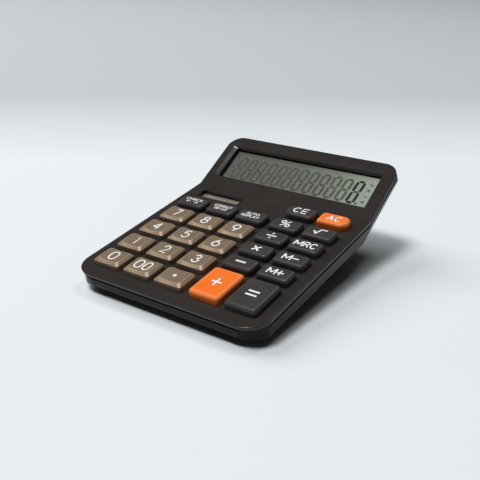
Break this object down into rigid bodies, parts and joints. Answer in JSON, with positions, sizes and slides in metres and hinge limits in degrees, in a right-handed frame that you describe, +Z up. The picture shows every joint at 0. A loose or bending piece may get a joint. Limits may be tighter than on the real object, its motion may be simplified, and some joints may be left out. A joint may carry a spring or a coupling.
{
  "type": "desk calculator",
  "caption": "Desk calculator with a sloping key deck and a raised, tilted display head; keys press in against a rubber mat and a battery door slides out underneath.",
  "frame": {"origin": "on the table, under the middle of the case", "axes": "+X to the right of someone using it, +Y to the back, towards the display, +Z up"},
  "size_m": [0.145, 0.1872, 0.0617],
  "materials": {
    "case_upper": "satin, fine grain",
    "case_lower": "satin gloss",
    "key_tan": "matte with fine fleck",
    "key_dark": "satin with fine metallic fleck",
    "key_orange": "satin",
    "clear_window": "clear",
    "display_glass": "clear with a grey-green tint",
    "display_reflector": "diffuse",
    "holder_plastic": "moulded",
    "ribbon_film": "thin film",
    "solar_cell": "glossy",
    "foot_rubber": "matte",
    "keypad_rubber": "matte",
    "board_laminate": "bare laminate",
    "chip_resin": "poured resin",
    "capacitor_can": "drawn can",
    "cell_jacket": "plain printed jacket",
    "contact_steel": "plated",
    "screw_steel": "plated",
    "lead_insulation": "soft insulation"
  },
  "bodies": {
    "case": {"battery_cell": "cell_jacket", "battery_leads": "lead_insulation", "battery_plate_contact": "contact_steel", "battery_spring_contact": "contact_steel", "board_capacitor": "capacitor_can", "board_screws": "screw_steel", "case_screws": "screw_steel", "chip_cover": "chip_resin", "circuit_board": "board_laminate", "display_window": "clear_window", "foot_front_left": "foot_rubber", "foot_front_right": "foot_rubber", "foot_rear_left": "foot_rubber", "foot_rear_right": "foot_rubber", "holder_screws": "screw_steel", "lcd_front_glass": "display_glass", "lcd_holder": "holder_plastic", "lcd_rear_glass": "display_glass", "lcd_reflector": "display_reflector", "lcd_ribbon": "ribbon_film", "lower_case": "case_lower", "rubber_keypad": "keypad_rubber", "solar_cell": "solar_cell", "solar_leads": "lead_insulation", "solar_window": "clear_window", "upper_case": "case_upper"},
    "key_0": {"key_0": "key_tan"},
    "key_00": {"key_00": "key_tan"},
    "key_1": {"key_1": "key_tan"},
    "key_2": {"key_2": "key_tan"},
    "key_3": {"key_3": "key_tan"},
    "key_4": {"key_4": "key_tan"},
    "key_5": {"key_5": "key_tan"},
    "key_6": {"key_6": "key_tan"},
    "key_7": {"key_7": "key_tan"},
    "key_8": {"key_8": "key_tan"},
    "key_9": {"key_9": "key_tan"},
    "key_ac": {"key_ac": "key_orange"},
    "key_ce": {"key_ce": "key_dark"},
    "key_check": {"key_check": "key_dark"},
    "key_correct": {"key_correct": "key_dark"},
    "key_divide": {"key_divide": "key_dark"},
    "key_equals": {"key_equals": "key_dark"},
    "key_m_minus": {"key_m_minus": "key_dark"},
    "key_m_plus": {"key_m_plus": "key_dark"},
    "key_minus": {"key_minus": "key_dark"},
    "key_mrc": {"key_mrc": "key_dark"},
    "key_percent": {"key_percent": "key_dark"},
    "key_plus": {"key_plus": "key_orange"},
    "key_point": {"key_point": "key_tan"},
    "key_replay": {"key_replay": "key_dark"},
    "key_root": {"key_root": "key_dark"},
    "key_times": {"key_times": "key_dark"},
    "battery_door": {"battery_door": "case_lower"}
  },
  "joints": [
    {"name": "key_0_press", "type": "slide", "parent": "case", "child": "key_0", "axis": [0, 0.1478, -0.989], "range_m": [0, 0.0016], "stiffness_N_per_m": 400, "springref_m": -0.0005, "deforming": ["rubber_keypad"]},
    {"name": "key_00_press", "type": "slide", "parent": "case", "child": "key_00", "axis": [0, 0.1478, -0.989], "range_m": [0, 0.0016], "stiffness_N_per_m": 400, "springref_m": -0.0005, "deforming": ["rubber_keypad"]},
    {"name": "key_1_press", "type": "slide", "parent": "case", "child": "key_1", "axis": [0, 0.1478, -0.989], "range_m": [0, 0.0016], "stiffness_N_per_m": 400, "springref_m": -0.0005, "deforming": ["rubber_keypad"]},
    {"name": "key_2_press", "type": "slide", "parent": "case", "child": "key_2", "axis": [0, 0.1478, -0.989], "range_m": [0, 0.0016], "stiffness_N_per_m": 400, "springref_m": -0.0005, "deforming": ["rubber_keypad"]},
    {"name": "key_3_press", "type": "slide", "parent": "case", "child": "key_3", "axis": [0, 0.1478, -0.989], "range_m": [0, 0.0016], "stiffness_N_per_m": 400, "springref_m": -0.0005, "deforming": ["rubber_keypad"]},
    {"name": "key_4_press", "type": "slide", "parent": "case", "child": "key_4", "axis": [0, 0.1478, -0.989], "range_m": [0, 0.0016], "stiffness_N_per_m": 400, "springref_m": -0.0005, "deforming": ["rubber_keypad"]},
    {"name": "key_5_press", "type": "slide", "parent": "case", "child": "key_5", "axis": [0, 0.1478, -0.989], "range_m": [0, 0.0016], "stiffness_N_per_m": 400, "springref_m": -0.0005, "deforming": ["rubber_keypad"]},
    {"name": "key_6_press", "type": "slide", "parent": "case", "child": "key_6", "axis": [0, 0.1478, -0.989], "range_m": [0, 0.0016], "stiffness_N_per_m": 400, "springref_m": -0.0005, "deforming": ["rubber_keypad"]},
    {"name": "key_7_press", "type": "slide", "parent": "case", "child": "key_7", "axis": [0, 0.1478, -0.989], "range_m": [0, 0.0016], "stiffness_N_per_m": 400, "springref_m": -0.0005, "deforming": ["rubber_keypad"]},
    {"name": "key_8_press", "type": "slide", "parent": "case", "child": "key_8", "axis": [0, 0.1478, -0.989], "range_m": [0, 0.0016], "stiffness_N_per_m": 400, "springref_m": -0.0005, "deforming": ["rubber_keypad"]},
    {"name": "key_9_press", "type": "slide", "parent": "case", "child": "key_9", "axis": [0, 0.1478, -0.989], "range_m": [0, 0.0016], "stiffness_N_per_m": 400, "springref_m": -0.0005, "deforming": ["rubber_keypad"]},
    {"name": "key_ac_press", "type": "slide", "parent": "case", "child": "key_ac", "axis": [0, 0.1478, -0.989], "range_m": [0, 0.0016], "stiffness_N_per_m": 400, "springref_m": -0.0005, "deforming": ["rubber_keypad"]},
    {"name": "key_ce_press", "type": "slide", "parent": "case", "child": "key_ce", "axis": [0, 0.1478, -0.989], "range_m": [0, 0.0016], "stiffness_N_per_m": 400, "springref_m": -0.0005, "deforming": ["rubber_keypad"]},
    {"name": "key_check_press", "type": "slide", "parent": "case", "child": "key_check", "axis": [0, 0.1478, -0.989], "range_m": [0, 0.0016], "stiffness_N_per_m": 400, "springref_m": -0.0005, "deforming": ["rubber_keypad"]},
    {"name": "key_correct_press", "type": "slide", "parent": "case", "child": "key_correct", "axis": [0, 0.1478, -0.989], "range_m": [0, 0.0016], "stiffness_N_per_m": 400, "springref_m": -0.0005, "deforming": ["rubber_keypad"]},
    {"name": "key_divide_press", "type": "slide", "parent": "case", "child": "key_divide", "axis": [0, 0.1478, -0.989], "range_m": [0, 0.0016], "stiffness_N_per_m": 400, "springref_m": -0.0005, "deforming": ["rubber_keypad"]},
    {"name": "key_equals_press", "type": "slide", "parent": "case", "child": "key_equals", "axis": [0, 0.1478, -0.989], "range_m": [0, 0.0016], "stiffness_N_per_m": 400, "springref_m": -0.0005, "deforming": ["rubber_keypad"]},
    {"name": "key_m_minus_press", "type": "slide", "parent": "case", "child": "key_m_minus", "axis": [0, 0.1478, -0.989], "range_m": [0, 0.0016], "stiffness_N_per_m": 400, "springref_m": -0.0005, "deforming": ["rubber_keypad"]},
    {"name": "key_m_plus_press", "type": "slide", "parent": "case", "child": "key_m_plus", "axis": [0, 0.1478, -0.989], "range_m": [0, 0.0016], "stiffness_N_per_m": 400, "springref_m": -0.0005, "deforming": ["rubber_keypad"]},
    {"name": "key_minus_press", "type": "slide", "parent": "case", "child": "key_minus", "axis": [0, 0.1478, -0.989], "range_m": [0, 0.0016], "stiffness_N_per_m": 400, "springref_m": -0.0005, "deforming": ["rubber_keypad"]},
    {"name": "key_mrc_press", "type": "slide", "parent": "case", "child": "key_mrc", "axis": [0, 0.1478, -0.989], "range_m": [0, 0.0016], "stiffness_N_per_m": 400, "springref_m": -0.0005, "deforming": ["rubber_keypad"]},
    {"name": "key_percent_press", "type": "slide", "parent": "case", "child": "key_percent", "axis": [0, 0.1478, -0.989], "range_m": [0, 0.0016], "stiffness_N_per_m": 400, "springref_m": -0.0005, "deforming": ["rubber_keypad"]},
    {"name": "key_plus_press", "type": "slide", "parent": "case", "child": "key_plus", "axis": [0, 0.1478, -0.989], "range_m": [0, 0.0016], "stiffness_N_per_m": 400, "springref_m": -0.0005, "deforming": ["rubber_keypad"]},
    {"name": "key_point_press", "type": "slide", "parent": "case", "child": "key_point", "axis": [0, 0.1478, -0.989], "range_m": [0, 0.0016], "stiffness_N_per_m": 400, "springref_m": -0.0005, "deforming": ["rubber_keypad"]},
    {"name": "key_replay_press", "type": "slide", "parent": "case", "child": "key_replay", "axis": [0, 0.1478, -0.989], "range_m": [0, 0.0016], "stiffness_N_per_m": 400, "springref_m": -0.0005, "deforming": ["rubber_keypad"]},
    {"name": "key_root_press", "type": "slide", "parent": "case", "child": "key_root", "axis": [0, 0.1478, -0.989], "range_m": [0, 0.0016], "stiffness_N_per_m": 400, "springref_m": -0.0005, "deforming": ["rubber_keypad"]},
    {"name": "key_times_press", "type": "slide", "parent": "case", "child": "key_times", "axis": [0, 0.1478, -0.989], "range_m": [0, 0.0016], "stiffness_N_per_m": 400, "springref_m": -0.0005, "deforming": ["rubber_keypad"]},
    {"name": "battery_door_slide", "type": "slide", "parent": "case", "child": "battery_door", "axis": [0, 1, 0], "range_m": [0, 0.018]}
  ]
}
